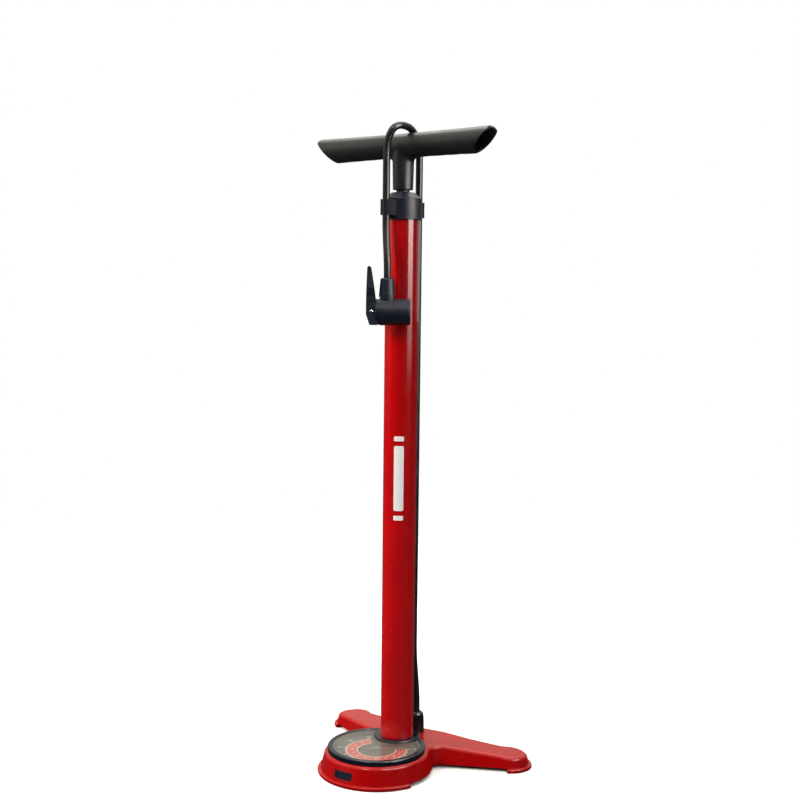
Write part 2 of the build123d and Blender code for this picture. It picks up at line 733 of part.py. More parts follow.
with BuildPart() as hose:
    with BuildLine() as hose_path:
        Line((0, OUTLET_Y, HOSE_LOW), (0, OUTLET_Y, BOOT_TOP + 2))
        Spline((0, OUTLET_Y, BOOT_TOP + 2), (0, HOSE_Y, 125), tangents=((0, 0, 1), (0, 0, 1)))
        Line((0, HOSE_Y, 125), (0, HOSE_Y, LOOP_LOW))
        Spline(
            [loop_point(pi * step / 12) for step in range(13)],
            tangents=((0, 0, 1), (0, 0, -1)),
            tangent_scalars=(0.6, 0.6),
        )
        Line((0, -HOSE_Y, LOOP_LOW), (0, -HOSE_Y, CLIP_LOW - 2))
        Spline(
            (0, -HOSE_Y, CLIP_LOW - 2),
            (HEAD_X, HEAD_Y, HEAD_Z + 36),
            tangents=((0, 0, -1), (0, 0, -1)),
        )
        Line((HEAD_X, HEAD_Y, HEAD_Z + 36), (HEAD_X, HEAD_Y, HEAD_Z + HOSE_END_RISE))
    hose_start = Plane.XY.offset(HOSE_LOW)
    with BuildSketch(hose_start):
        with Locations((0, OUTLET_Y)):
            Circle(HOSE_R)
    sweep(path=hose_path.wire())
    with BuildSketch(hose_start):
        with Locations((0, OUTLET_Y)):
            Circle(HOSE_BORE_R)
    sweep(path=hose_path.wire(), mode=Mode.SUBTRACT)
save(hose, "hose")

with BuildPart() as hose_barb:
    with BuildSketch(upright_plane(0, OUTLET_Y, 0)):
        Polygon(
            (1.2, BARB_LOW),
            (BARB_R, BARB_LOW),
            (BARB_R, HOSE_LOW - 0.1),
            (HOSE_BORE_R - 0.05, HOSE_LOW - 0.1),
            (HOSE_BORE_R - 0.2, BARB_TOP),
            (1.2, BARB_TOP),
            align=None,
        )
    revolve(axis=Axis((0, OUTLET_Y, 0), (0, 0, 1)))
save(hose_barb, "hose_barb")

with BuildPart() as hose_boot:
    with BuildSketch(upright_plane(0, OUTLET_Y, 0)):
        with BuildLine():
            Polyline(
                (BOOT_TOP_R, BOOT_TOP),
                (HOSE_R + FIT_GAP, BOOT_TOP),
                (HOSE_R + FIT_GAP, HOSE_LOW - 0.05),
                (BARB_R + FIT_GAP, HOSE_LOW - 0.05),
                (BARB_R + FIT_GAP, DECK_Z + FIT_GAP),
                (BOOT_LOW_R, DECK_Z + FIT_GAP),
                (BOOT_LOW_R - 0.3, BOOT_TOP - 10),
            )
            Spline(
                (BOOT_LOW_R - 0.3, BOOT_TOP - 10),
                (BOOT_TOP_R, BOOT_TOP),
                tangents=((-0.05, 1), (-1, 0.5)),
            )
        make_face()
    revolve(axis=Axis((0, OUTLET_Y, 0), (0, 0, 1)))
save(hose_boot, "hose_boot")

# ---------------------------------------------------------------- pump head

with BuildPart() as head_body:
    with BuildSketch(HEAD_SIDE) as section:
        Polygon(
            (HEAD_REAR, 0),
            (HEAD_REAR, HEAD_R),
            (HEAD_CAP_START - 0.1, HEAD_R),
            (HEAD_CAP_START - 0.1, HEAD_SPIGOT_R),
            (HEAD_SPIGOT_END, HEAD_SPIGOT_R),
            (HEAD_SPIGOT_END, 0),
            align=None,
        )
        fillet(section.vertices().sort_by_distance((HEAD_REAR, HEAD_R, 0))[0], HEAD_REAR_EDGE_R)
    revolve(axis=HEAD_AXIS)
    with BuildSketch(HEAD_UP):
        Circle(HEAD_NECK_R)
    extrude(amount=HEAD_NECK_TOP)
    # Threaded spigot for the nozzle cap
    with BuildSketch(HEAD_SIDE):
        with Locations((HEAD_CAP_START - 0.1, HEAD_SPIGOT_R)):
            Rectangle(20, 10, align=(Align.MIN, Align.MIN))
    revolve(axis=HEAD_AXIS, mode=Mode.SUBTRACT)
    # Two cheeks hold the lever's pin
    with BuildSketch(HEAD_SIDE) as cheek:
        Polygon(
            (-10, -HEAD_R + 0.4),
            (-17.6, -HEAD_R + 0.4),
            (-21.4, -2),
            (-20.6, 4.0),
            (-17.0, 7.6),
            (-10, 10.5),
            align=None,
        )
        fillet(cheek.vertices().sort_by(Axis.X)[:4], 1.5)
    extrude(amount=CHEEK_HALF, both=True)
    # Slot for the lever, guide for the plunger's stem, chamber for plunger and gasket
    slot_origin = HEAD_UP.from_local_coords((SLOT_END, 0, 0))
    with Locations(Plane(origin=slot_origin, x_dir=HEAD_UP.x_dir, z_dir=(0, 0, 1))):
        slot_align = (Align.MAX, Align.CENTER, Align.CENTER)
        Box(30, 2 * SLOT_HALF, 60, align=slot_align, mode=Mode.SUBTRACT)
    with BuildSketch(HEAD_SIDE):
        Polygon(
            (-20, 0),
            (-20, STEM_GUIDE_R),
            (STEM_GUIDE_END, STEM_GUIDE_R),
            (STEM_GUIDE_END, CHAMBER_BORE_R),
            (20, CHAMBER_BORE_R),
            (20, 0),
            align=None,
        )
    revolve(axis=HEAD_AXIS, mode=Mode.SUBTRACT)
    with BuildSketch(HEAD_UP):
        Circle(1.3)
    extrude(amount=20, mode=Mode.SUBTRACT)
    with BuildSketch(HEAD_UP.offset(11)):
        Circle(2.12)
    extrude(amount=20, mode=Mode.SUBTRACT)
    with BuildSketch(HEAD_SIDE):
        with Locations((PIN_AT, 0)):
            Circle(PIN_R + 0.02)
    extrude(amount=20, both=True, mode=Mode.SUBTRACT)
save(head_body, "head_body")

with BuildPart() as head_barb:
    with BuildSketch(HEAD_UP.offset(11.05)):
        Circle(2.08)
        Circle(1.2, mode=Mode.SUBTRACT)
    extrude(amount=20)
save(head_barb, "head_barb")

with BuildPart() as hose_collar:
    with BuildSketch(HEAD_SIDE) as section:
        Polygon(
            (HOSE_R + FIT_GAP, HEAD_NECK_TOP + FIT_GAP),
            (COLLAR_LOW_R, HEAD_NECK_TOP + FIT_GAP),
            (COLLAR_LOW_R, HEAD_NECK_TOP + 2.0),
            (COLLAR_HIGH_R, HOSE_COLLAR_TOP),
            (HOSE_R + FIT_GAP, HOSE_COLLAR_TOP),
            align=None,
        )
        shoulder = section.vertices().sort_by_distance((COLLAR_HIGH_R, HOSE_COLLAR_TOP, 0))[0]
        fillet(shoulder, COLLAR_EDGE_R)
    revolve(axis=Axis((HEAD_X, HEAD_Y, 0), (0, 0, 1)))
save(hose_collar, "hose_collar")

with BuildPart() as nozzle_cap:
    with BuildSketch(HEAD_SIDE) as section:
        Polygon(
            (HEAD_CAP_START, HEAD_SPIGOT_R + FIT_GAP),
            (HEAD_CAP_START, HEAD_CAP_R),
            (HEAD_CAP_END, HEAD_CAP_R),
            (HEAD_CAP_END, VALVE_HOLE_R),
            (GASKET_END + FIT_GAP, VALVE_HOLE_R),
            (GASKET_END + FIT_GAP, CHAMBER_BORE_R),
            (HEAD_SPIGOT_END + 0.1, CHAMBER_BORE_R),
            (HEAD_SPIGOT_END + 0.1, HEAD_SPIGOT_R + FIT_GAP),
            align=None,
        )
        fillet(section.vertices().sort_by_distance((HEAD_CAP_END, HEAD_CAP_R, 0))[0], 1.6)
    revolve(axis=HEAD_AXIS)
save(nozzle_cap, "nozzle_cap")

with BuildPart() as head_gasket:
    with BuildSketch(HEAD_SIDE):
        with Locations((GASKET_START, GASKET_BORE_R)):
            Rectangle(
                GASKET_END - GASKET_START,
                CHAMBER_BORE_R - 0.1 - GASKET_BORE_R,
                align=(Align.MIN, Align.MIN),
            )
    revolve(axis=HEAD_AXIS)
save(head_gasket, "head_gasket")

with BuildPart() as plunger:
    rear = PIN_AT + CAM_START + FIT_GAP
    stem_r = STEM_GUIDE_R - 0.05
    skirt_r = CHAMBER_BORE_R - 0.1
    with BuildSketch(HEAD_SIDE):
        Polygon(
            (rear, 0),
            (rear, stem_r),
            (-1.0, stem_r),
            (-1.0, skirt_r),
            (0.0, skirt_r),
            (0.0, 7.0),
            (2.0, 7.0),
            (2.0, skirt_r),
            (3.5, skirt_r),
            (3.5, 1.6),
            (-3.0, 1.6),
            (-3.0, 0),
            align=None,
        )
    revolve(axis=HEAD_AXIS)
    with BuildSketch(HEAD_UP):
        with Locations((1.0, 0)):
            Circle(0.7)
    extrude(amount=10, mode=Mode.SUBTRACT)
save(plunger, "plunger")


def cam_point(turned):
    """Point of the cam that bears on the plunger when the lever has turned by this angle."""
    lift = CAM_START + CAM_RISE * turned
    x = lift * cos(turned) - CAM_RISE * sin(turned)
    y = -lift * sin(turned) - CAM_RISE * cos(turned)
    return (PIN_AT + x, y)


with BuildPart() as lever:
    with BuildSketch(HEAD_SIDE):
        with BuildLine():
            Spline([cam_point(pi / 2 * step / 8) for step in range(9)])
            Polyline(
                cam_point(pi / 2),
                (PIN_AT - 4.2, -6.4),
                (PIN_AT - 5.7, -2.5),
                (PIN_AT - 5.7, 14.0),
                (PIN_AT - 4.7, LEVER_TIP - 1.6),
            )
            ThreePointArc(
                (PIN_AT - 4.7, LEVER_TIP - 1.6),
                (PIN_AT - 2.7, LEVER_TIP),
                (PIN_AT - 0.7, LEVER_TIP - 1.6),
            )
            Spline((PIN_AT - 0.7, LEVER_TIP - 1.6), (PIN_AT + 3.0, 21.5), (PIN_AT + 4.3, 12.0))
            Polyline((PIN_AT + 4.3, 12.0), (PIN_AT + 4.3, 2.0), cam_point(0))
        make_face()
    extrude(amount=LEVER_HALF, both=True)
    # The thumb pad is wider than the root that sits in the slot
    behind = HEAD_UP.from_local_coords((PIN_AT - 8, 0, 0))
    root_half = SLOT_HALF - 0.3
    with BuildSketch(Plane(origin=behind, x_dir=HEAD_UP.y_dir, z_dir=HEAD_UP.x_dir)):
        Polygon(
            (-root_half, 16),
            (-LEVER_HALF + 0.1, 24),
            (-LEVER_HALF + 1, LEVER_TIP + 1),
            (LEVER_HALF - 1, LEVER_TIP + 1),
            (LEVER_HALF - 0.1, 24),
            (root_half, 16),
            (root_half, -20),
            (-root_half, -20),
            align=None,
        )
    extrude(amount=30, mode=Mode.INTERSECT)
    with BuildSketch(HEAD_SIDE):
        with Locations((PIN_AT, 0)):
            Circle(PIN_R + 0.06)
    extrude(amount=20, both=True, mode=Mode.SUBTRACT)
save(lever, "lever")

with BuildPart() as lever_pin:
    with BuildSketch(HEAD_SIDE):
        with Locations((PIN_AT, 0)):
            Circle(PIN_R)
    extrude(amount=CHEEK_HALF + 1.0, both=True)
    fillet(lever_pin.edges().filter_by(GeomType.CIRCLE), 1.5)
save(lever_pin, "lever_pin")
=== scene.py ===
"""Looks of the floor pump: materials, printed marks, floor, light and camera."""

import json
from math import cos, degrees, pi, radians, sin

import bmesh
import bpy
from mathutils import Matrix, Vector


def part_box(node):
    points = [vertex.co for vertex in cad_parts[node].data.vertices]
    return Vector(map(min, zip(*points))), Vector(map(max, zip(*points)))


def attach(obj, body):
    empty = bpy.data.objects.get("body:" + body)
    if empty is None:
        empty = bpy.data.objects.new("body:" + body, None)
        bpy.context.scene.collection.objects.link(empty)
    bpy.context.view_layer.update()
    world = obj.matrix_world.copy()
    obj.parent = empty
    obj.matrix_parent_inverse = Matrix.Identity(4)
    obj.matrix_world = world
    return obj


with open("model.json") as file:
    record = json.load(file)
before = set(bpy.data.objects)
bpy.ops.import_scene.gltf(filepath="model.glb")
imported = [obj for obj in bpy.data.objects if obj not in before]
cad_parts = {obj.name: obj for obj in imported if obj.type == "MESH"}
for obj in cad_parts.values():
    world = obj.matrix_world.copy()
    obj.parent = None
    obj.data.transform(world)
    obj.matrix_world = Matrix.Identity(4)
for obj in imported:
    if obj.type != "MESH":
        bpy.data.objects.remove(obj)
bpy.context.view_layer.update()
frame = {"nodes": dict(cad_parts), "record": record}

nodes = frame["nodes"]
MM = 0.001

# ---------------------------------------------------------------- material tools


class Graph:
    """Tools that add nodes to a shader's tree; textures are placed by one output of its coordinates."""

    def __init__(self, tree, coordinates):
        self.tree = tree
        self.place = self.node("ShaderNodeTexCoord").outputs[coordinates]

    def node(self, kind, **settings):
        made = self.tree.nodes.new(kind)
        for key, value in settings.items():
            setattr(made, key, value)
        return made

    def link(self, source, target):
        if hasattr(source, "is_output"):
            self.tree.links.new(source, target)
        else:
            target.default_value = source

    def noise(self, scale, detail=2.0, rough=0.5, stretch=None):
        tex = self.node("ShaderNodeTexNoise")
        tex.inputs["Scale"].default_value = scale
        tex.inputs["Detail"].default_value = detail
        tex.inputs["Roughness"].default_value = rough
        self.link(self.stretched(stretch) if stretch else self.place, tex.inputs["Vector"])
        return tex.outputs["Fac"]

    def stretched(self, factors):
        mapping = self.node("ShaderNodeMapping")
        mapping.inputs["Scale"].default_value = factors
        self.link(self.place, mapping.inputs["Vector"])
        return mapping.outputs["Vector"]

    def cells(self, scale):
        tex = self.node("ShaderNodeTexVoronoi")
        tex.inputs["Scale"].default_value = scale
        self.link(self.place, tex.inputs["Vector"])
        return tex.outputs["Distance"]

    def span(self, value, low, high, to_low=0.0, to_high=1.0, smooth=False):
        made = self.node("ShaderNodeMapRange")
        if smooth:
            made.interpolation_type = "SMOOTHSTEP"
        self.link(value, made.inputs["Value"])
        for key, number in (("From Min", low), ("From Max", high), ("To Min", to_low), ("To Max", to_high)):
            made.inputs[key].default_value = number
        return made.outputs["Result"]

    def maths(self, operation, a, b=None):
        made = self.node("ShaderNodeMath", operation=operation)
        self.link(a, made.inputs[0])
        if b is not None:
            self.link(b, made.inputs[1])
        return made.outputs[0]

    def mix(self, factor, a, b):
        made = self.node("ShaderNodeMix", data_type="RGBA")
        self.link(factor, made.inputs["Factor"])
        self.link(a, made.inputs[6])
        self.link(b, made.inputs[7])
        return made.outputs[2]

    def bump(self, height, strength, distance, normal=None):
        made = self.node("ShaderNodeBump")
        made.inputs["Strength"].default_value = strength
        made.inputs["Distance"].default_value = distance
        self.link(height, made.inputs["Height"])
        if normal is not None:
            self.link(normal, made.inputs["Normal"])
        return made.outputs["Normal"]

    def rounded(self, radius):
        made = self.node("ShaderNodeBevel", samples=4)
        made.inputs["Radius"].default_value = radius
        return made.outputs["Normal"]

    def edges(self, radius):
        """1 along sharp edges and 0 on open faces."""
        flat = self.node("ShaderNodeNewGeometry").outputs["Normal"]
        dot = self.node("ShaderNodeVectorMath", operation="DOT_PRODUCT")
        self.link(self.rounded(radius), dot.inputs[0])
        self.link(flat, dot.inputs[1])
        return self.span(dot.outputs["Value"], 0.99, 0.8)

    def axes(self):
        split = self.node("ShaderNodeSeparateXYZ")
        self.link(self.place, split.inputs["Vector"])
        return split.outputs["X"], split.outputs["Y"], split.outputs["Z"]


class Paint(Graph):
    """A procedural material that is built node by node."""

    def __init__(self, name):
        self.mat = bpy.data.materials.new(name)
        self.mat.use_nodes = True
        super().__init__(self.mat.node_tree, "Object")
        self.bsdf = self.tree.nodes["Principled BSDF"]

    def set(self, **inputs):
        for key, value in inputs.items():
            self.link(value, self.bsdf.inputs[key.replace("_", " ")])


def rgb(red, green, blue):
    """A colour given as it shows on screen, 0 to 255, turned into linear light."""
    return tuple((v / 255) ** 2.2 for v in (red, green, blue)) + (1.0,)


def enamel(name, body, shade, edge_wear, coat=1.0):
    """Sprayed gloss enamel on steel: even colour, clear coat, orange peel, faint dust and scuffs."""
    paint = Paint(name)
    drift = paint.noise(14, 3)
    colour = paint.mix(paint.span(drift, 0.35, 0.7), rgb(*shade), rgb(*body))
    worn = paint.maths("MULTIPLY", paint.edges(0.6 * MM), paint.span(paint.noise(260, 4), 0.5, 0.62))
    colour = paint.mix(paint.maths("MULTIPLY", worn, edge_wear), colour, rgb(206, 92, 84))
    scuffs = paint.span(paint.noise(90, 6, 0.7, (1, 1, 0.12)), 0.62, 0.75)
    specks = paint.span(paint.cells(700), 0.06, 0.02)
    peel = paint.bump(paint.noise(420, 1), 0.08, 0.04 * MM, paint.rounded(0.5 * MM))
    grain = paint.bump(paint.maths("ADD", scuffs, specks), 0.04, 0.03 * MM, peel)
    clouds = paint.span(paint.noise(50, 5), 0.3, 0.7, 0.2, 0.32)
    rough = paint.maths("ADD", clouds, paint.maths("MULTIPLY", scuffs, 0.12))
    paint.set(Base_Color=colour, Roughness=rough, Normal=grain, Coat_Weight=coat, Coat_Normal=peel)
    paint.set(Coat_Roughness=paint.span(paint.noise(35, 4), 0.3, 0.75, 0.025, 0.09), Specular_IOR_Level=0.12)
    return paint.mat


def moulded(name, body, shade, rough_low, rough_high, grain_scale, grain_depth, gloss=0.5):
    """Injection-moulded plastic with a fine spark-eroded grain, rubbed smoother along its edges, with a
    painted highlight that lightens every edge.
    """
    paint = Paint(name)
    cloud = paint.span(paint.noise(38, 4), 0.3, 0.7)
    colour = paint.mix(cloud, rgb(*shade), rgb(*body))
    edge = paint.edges(0.5 * MM)
    # Painted highlight: every sharp edge is lightened towards a paler tone of the body colour, standing in
    # for light caught on the edges
    colour = paint.mix(paint.maths("MULTIPLY", edge, 0.35), colour, rgb(*[min(255, v + 38) for v in body]))
    dust = paint.span(paint.noise(900, 3), 0.66, 0.74)
    colour = paint.mix(paint.maths("MULTIPLY", dust, 0.05), colour, rgb(120, 118, 110))
    grain = paint.maths("ADD", paint.cells(grain_scale), paint.noise(grain_scale * 1.7, 2))
    bump = paint.bump(grain, 0.28, grain_depth, paint.rounded(0.35 * MM))
    wipes = paint.span(paint.noise(70, 5, 0.6, (1, 1, 0.25)), 0.35, 0.7, rough_low, rough_high)
    rough = paint.maths("SUBTRACT", wipes, paint.maths("MULTIPLY", edge, 0.06))
    paint.set(Base_Color=colour, Roughness=rough, Normal=bump, Specular_IOR_Level=gloss)
    return paint.mat


def rubber(name, body, rough, streaks=False):
    """Rubber with a slight bloom; a hose also has the fine lengthwise lines of its die."""
    paint = Paint(name)
    bloom = paint.span(paint.noise(60, 5), 0.35, 0.75)
    colour = paint.mix(bloom, rgb(*body), rgb(*[v + 12 for v in body]))
    fine = paint.noise(1500, 3)
    if streaks:
        fine = paint.maths("ADD", fine, paint.noise(1600, 1, 0.5, (1, 1, 0.01)))
    bump = paint.bump(fine, 0.2, 0.03 * MM)
    paint.set(Base_Color=colour, Roughness=paint.span(bloom, 0, 1, rough - 0.06, rough + 0.08), Normal=bump)
    return paint.mat


def metal(name, tint, rough, stretch, brushed):
    """Turned, brushed or plated metal with fine tool lines and cloudy tarnish."""
    paint = Paint(name)
    cloud = paint.span(paint.noise(120, 5), 0.3, 0.75)
    colour = paint.mix(cloud, rgb(*tint), rgb(*[int(v * 0.82) for v in tint]))
    lines = paint.noise(1800, 2, 0.6, stretch)
    bump = paint.bump(lines, brushed, 0.02 * MM, paint.rounded(0.15 * MM))
    paint.set(Base_Color=colour, Metallic=1.0, Normal=bump)
    tooled = paint.span(lines, 0.3, 0.7, -0.05, 0.08)
    tarnished = paint.span(cloud, 0, 1, rough, rough + 0.08)
    paint.set(Roughness=paint.maths("ADD", tooled, tarnished))
    return paint.mat


def clear_lens():
    """Clear moulded plastic: seen through, with a mirror-like surface and hairline scratches."""
    paint = Paint("clear_lens")
    scratches = paint.noise(240, 2, 0.6, (1, 14, 1))
    wear = paint.span(scratches, 0.62, 0.7)
    normal = paint.bump(paint.noise(60, 1), 0.012, 0.3 * MM)
    through = paint.node("ShaderNodeBsdfTransparent")
    through.inputs["Color"].default_value = (0.93, 0.94, 0.92, 1)
    shine = paint.node("ShaderNodeBsdfGlossy")
    shine.inputs["Color"].default_value = (1, 1, 1, 1)
    paint.link(paint.span(wear, 0, 1, 0.035, 0.11), shine.inputs["Roughness"])
    paint.link(normal, shine.inputs["Normal"])
    haze = paint.node("ShaderNodeBsdfDiffuse")
    haze.inputs["Color"].default_value = (0.5, 0.48, 0.43, 1)
    fresnel = paint.node("ShaderNodeFresnel")
    fresnel.inputs["IOR"].default_value = 1.5
    outside = paint.maths("SUBTRACT", 1.0, paint.node("ShaderNodeNewGeometry").outputs["Backfacing"])
    mirror = paint.maths("MULTIPLY", fresnel.outputs[0], outside)
    base = paint.node("ShaderNodeMixShader")
    paint.link(paint.span(paint.noise(30, 4), 0.3, 0.8, 0.05, 0.13), base.inputs["Fac"])
    paint.link(through.outputs[0], base.inputs[1])
    paint.link(haze.outputs[0], base.inputs[2])
    top = paint.node("ShaderNodeMixShader")
    paint.link(mirror, top.inputs["Fac"])
    paint.link(base.outputs[0], top.inputs[1])
    paint.link(shine.outputs[0], top.inputs[2])
    paint.link(top.outputs[0], paint.tree.nodes["Material Output"].inputs["Surface"])
    return paint.mat


GAUGE_Y = -36.0 * MM
DIAL_ZERO = 40.0
DIAL_SWEEP = 260.0
BAND_LOW, BAND_HIGH = 20.7 * MM, 31.0 * MM
LINE_WIDTH = 0.9 * MM


def dial_face():
    """A dark dial with a red band between two white lines, over the needle's sweep."""
    paint = Paint("dial_face")
    x, y, z = paint.axes()
    y = paint.maths("SUBTRACT", y, GAUGE_Y)
    squares = paint.maths("ADD", paint.maths("MULTIPLY", x, x), paint.maths("MULTIPLY", y, y))
    radius = paint.maths("SQRT", squares)
    # Angle run clockwise from the zero mark, as a share of a turn
    turn = paint.maths("DIVIDE", paint.maths("ARCTAN2", y, x), 2 * pi)
    share = paint.maths("FRACT", paint.maths("SUBTRACT", DIAL_ZERO / 360 + 1, turn))
    inside = paint.maths("LESS_THAN", share, DIAL_SWEEP / 360)

    def ring(low, high):
        beyond = paint.maths("GREATER_THAN", radius, low)
        return paint.maths("MULTIPLY", beyond, paint.maths("LESS_THAN", radius, high))

    ink = paint.span(paint.noise(400, 4), 0.3, 0.7)
    face = paint.mix(ink, rgb(38, 38, 38), rgb(46, 45, 43))
    band = paint.mix(ink, rgb(196, 30, 30), rgb(178, 22, 24))
    colour = paint.mix(paint.maths("MULTIPLY", ring(BAND_LOW, BAND_HIGH), inside), face, band)
    white = paint.maths("ADD", ring(BAND_LOW - LINE_WIDTH, BAND_LOW), ring(BAND_HIGH, BAND_HIGH + LINE_WIDTH))
    colour = paint.mix(paint.maths("MULTIPLY", white, inside), colour, rgb(222, 214, 208))
    bump = paint.bump(paint.noise(2500, 2), 0.1, 0.02 * MM)
    paint.set(Base_Color=colour, Roughness=paint.span(ink, 0, 1, 0.45, 0.6), Normal=bump)
    return paint.mat


def ink(name, body):
    """Printing ink: nearly even, with the faint mottle and edges of a screen print."""
    paint = Paint(name)
    mottle = paint.span(paint.noise(900, 4), 0.3, 0.75)
    colour = paint.mix(mottle, rgb(*body), rgb(*[int(v * 0.93) for v in body]))
    bump = paint.bump(paint.noise(2200, 2), 0.12, 0.02 * MM)
    paint.set(Base_Color=colour, Roughness=paint.span(mottle, 0, 1, 0.28, 0.4), Normal=bump)
    paint.set(Coat_Weight=0.4, Coat_Roughness=0.08)
    return paint.mat


red = enamel("red_enamel", (176, 4, 12), (160, 3, 12), 0.5)
# Partly painted shade: the foot gets a darker copy of the red enamel, partly its own deeper red and partly
# darkened to hold down its brightly lit top faces
red_foot = enamel("red_enamel_foot", (157, 5, 9), (147, 4, 9), 0.6, 0.4)
black = moulded("black_moulded", (21, 29, 43), (16, 23, 35), 0.34, 0.5, 2600, 0.03 * MM, 0.35)
grip = moulded("grip_moulded", (30, 32, 34), (24, 27, 31), 0.34, 0.48, 2100, 0.04 * MM)
black_gloss = moulded("black_satin", (19, 25, 37), (14, 20, 30), 0.15, 0.26, 3000, 0.02 * MM)
hose_rubber = rubber("hose_rubber", (18, 18, 20), 0.34, streaks=True)
seal_rubber = rubber("seal_rubber", (24, 24, 25), 0.55)
chrome = metal("chrome_rod", (222, 224, 228), 0.06, (1, 1, 0.02), 0.05)
steel = metal("plain_steel", (176, 178, 182), 0.28, (1, 1, 8), 0.25)
brass = metal("turned_brass", (198, 156, 78), 0.24, (1, 1, 8), 0.2)
nylon = moulded("white_nylon", (214, 212, 204), (198, 196, 188), 0.38, 0.5, 1800, 0.03 * MM)
needle_paint = ink("needle_paint", (104, 100, 92))
print_white = ink("white_print", (238, 236, 234))

LOOKS = {
    "red_paint": red,
    "black_plastic": black,
    "grip_plastic": grip,
    "hose_rubber": hose_rubber,
    "seal_rubber": seal_rubber,
    "lens_clear": clear_lens(),
    "dial_print": dial_face(),
    "needle_paint": needle_paint,
    "chrome_steel": chrome,
    "plain_steel": steel,
    "brass": brass,
    "white_plastic": nylon,
}
for row in frame["record"]["subparts"]:
    look = LOOKS[row["material_slot"]]
    # The foot takes the darker red copy, which is partly painted shade
    if row["node"] == "foot":
        look = red_foot
    if row["node"] in ("gauge_bezel", "hose_boot", "front_plug"):
        look = black_gloss
    if row["node"] == "lever_pin":
        look = chrome
    for slot in nodes[row["node"]].material_slots:
        slot.material = look


# ---------------------------------------------------------------- mesh tools

def make_piece(name, points, faces, material, body, smooth_angle=35):
    """A mesh piece in the row frame, in metres, that rides on a body."""
    mesh = bpy.data.meshes.new(name)
    mesh.from_pydata(points, [], faces)
    tidy = bmesh.new()
    tidy.from_mesh(mesh)
    bmesh.ops.recalc_face_normals(tidy, faces=tidy.faces)
    tidy.to_mesh(mesh)
    tidy.free()
    mesh.materials.append(material)
    piece = bpy.data.objects.new(name, mesh)
    bpy.context.scene.collection.objects.link(piece)
    if smooth_angle:
        mesh.shade_smooth()
        mesh.set_sharp_from_angle(angle=radians(smooth_angle))
    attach(piece, body)


# ---------------------------------------------------------------- printed marks on the dial

DIAL_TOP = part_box("gauge_dial")[1].z
INK_T = 0.06 * MM


def dial_point(share, radius, z):
    """A point on the dial, share of the way round the scale."""
    angle = radians(DIAL_ZERO - DIAL_SWEEP * share)
    return (radius * cos(angle), GAUGE_Y + radius * sin(angle), z)


def add_prism(points, faces, outline):
    """Adds a thin printed shape, given its corners at the dial's surface."""
    start = len(points)
    count = len(outline)
    points += [(x, y, DIAL_TOP) for x, y in outline]
    points += [(x, y, DIAL_TOP + INK_T) for x, y in outline]
    faces.append([start + count + i for i in range(count)])
    faces.append([start + i for i in reversed(range(count))])
    for i in range(count):
        j = (i + 1) % count
        faces.append([start + i, start + j, start + count + j, start + count + i])


TICKS = 64
MAJOR_EVERY, MIDDLE_EVERY = 8, 4
MAJOR_LENGTH, MIDDLE_LENGTH, MINOR_LENGTH = 3.4 * MM, 2.0 * MM, 1.3 * MM
MAJOR_HALF_WIDTH, MINOR_HALF_WIDTH = 0.38 * MM, 0.17 * MM
TICK_START = BAND_HIGH + LINE_WIDTH + 0.5 * MM


def tick_length(tick):
    if tick % MAJOR_EVERY == 0:
        return MAJOR_LENGTH
    return MIDDLE_LENGTH if tick % MIDDLE_EVERY == 0 else MINOR_LENGTH


tick_points, tick_faces = [], []
for tick in range(TICKS + 1):
    share = tick / TICKS
    half = MAJOR_HALF_WIDTH if tick % MAJOR_EVERY == 0 else MINOR_HALF_WIDTH
    near = TICK_START
    far = near + tick_length(tick)
    angle = radians(DIAL_ZERO - DIAL_SWEEP * share)
    side = (-sin(angle) * half, cos(angle) * half)
    outline = []
    for radius, sign in ((near, -1), (far, -1), (far, 1), (near, 1)):
        x, y, _ = dial_point(share, radius, 0)
        outline.append((x + sign * side[0], y + sign * side[1]))
    add_prism(tick_points, tick_faces, outline)
make_piece("dial_ticks", tick_points, tick_faces, print_white, "barrel", 0)


def numeral(text, share, radius, size):
    """A printed number that stands on the scale, reading upright from the front."""
    curve = bpy.data.curves.new("numeral_" + text, "FONT")
    curve.body = text
    curve.size = size
    curve.align_x = "CENTER"
    curve.align_y = "CENTER"
    curve.extrude = INK_T / 2
    curve.resolution_u = 3
    drawn = bpy.data.objects.new("numeral_" + text, curve)
    bpy.context.scene.collection.objects.link(drawn)
    x, y, z = dial_point(share, radius, DIAL_TOP + INK_T / 2)
    mesh = bpy.data.meshes.new_from_object(drawn)
    bpy.data.objects.remove(drawn)
    piece = bpy.data.objects.new("dial_number_" + text, mesh)
    bpy.context.scene.collection.objects.link(piece)
    mesh.transform(Matrix.Translation((x, y, z)))
    mesh.materials.clear()
    mesh.materials.append(print_white)
    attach(piece, "barrel")


OUTER_NUMBERS_R = 40.0 * MM
BAND_NUMBERS_R = 25.8 * MM
COLLAR_CLEAR_R = 27.5 * MM
for step in range(9):
    share = step / 8
    x, y, _ = dial_point(share, OUTER_NUMBERS_R, 0)
    if (x * x + y * y) ** 0.5 > COLLAR_CLEAR_R:
        numeral(str(step * 20), share, OUTER_NUMBERS_R, 4.6 * MM)
for step in range(1, 12):
    x, y, _ = dial_point(step / 11, BAND_NUMBERS_R, 0)
    if (x * x + y * y) ** 0.5 > COLLAR_CLEAR_R:
        numeral(str(step), step / 11, BAND_NUMBERS_R, 4.8 * MM)

# ---------------------------------------------------------------- plain printed bars on the barrel

CAMERA_TURN = radians(36.127)
BARREL_R = 17.5 * MM
BAR_FACING = -94 + degrees(CAMERA_TURN)
BAR_HALF_WIDTH = 17
BAR_CORNER = 1.2 * MM


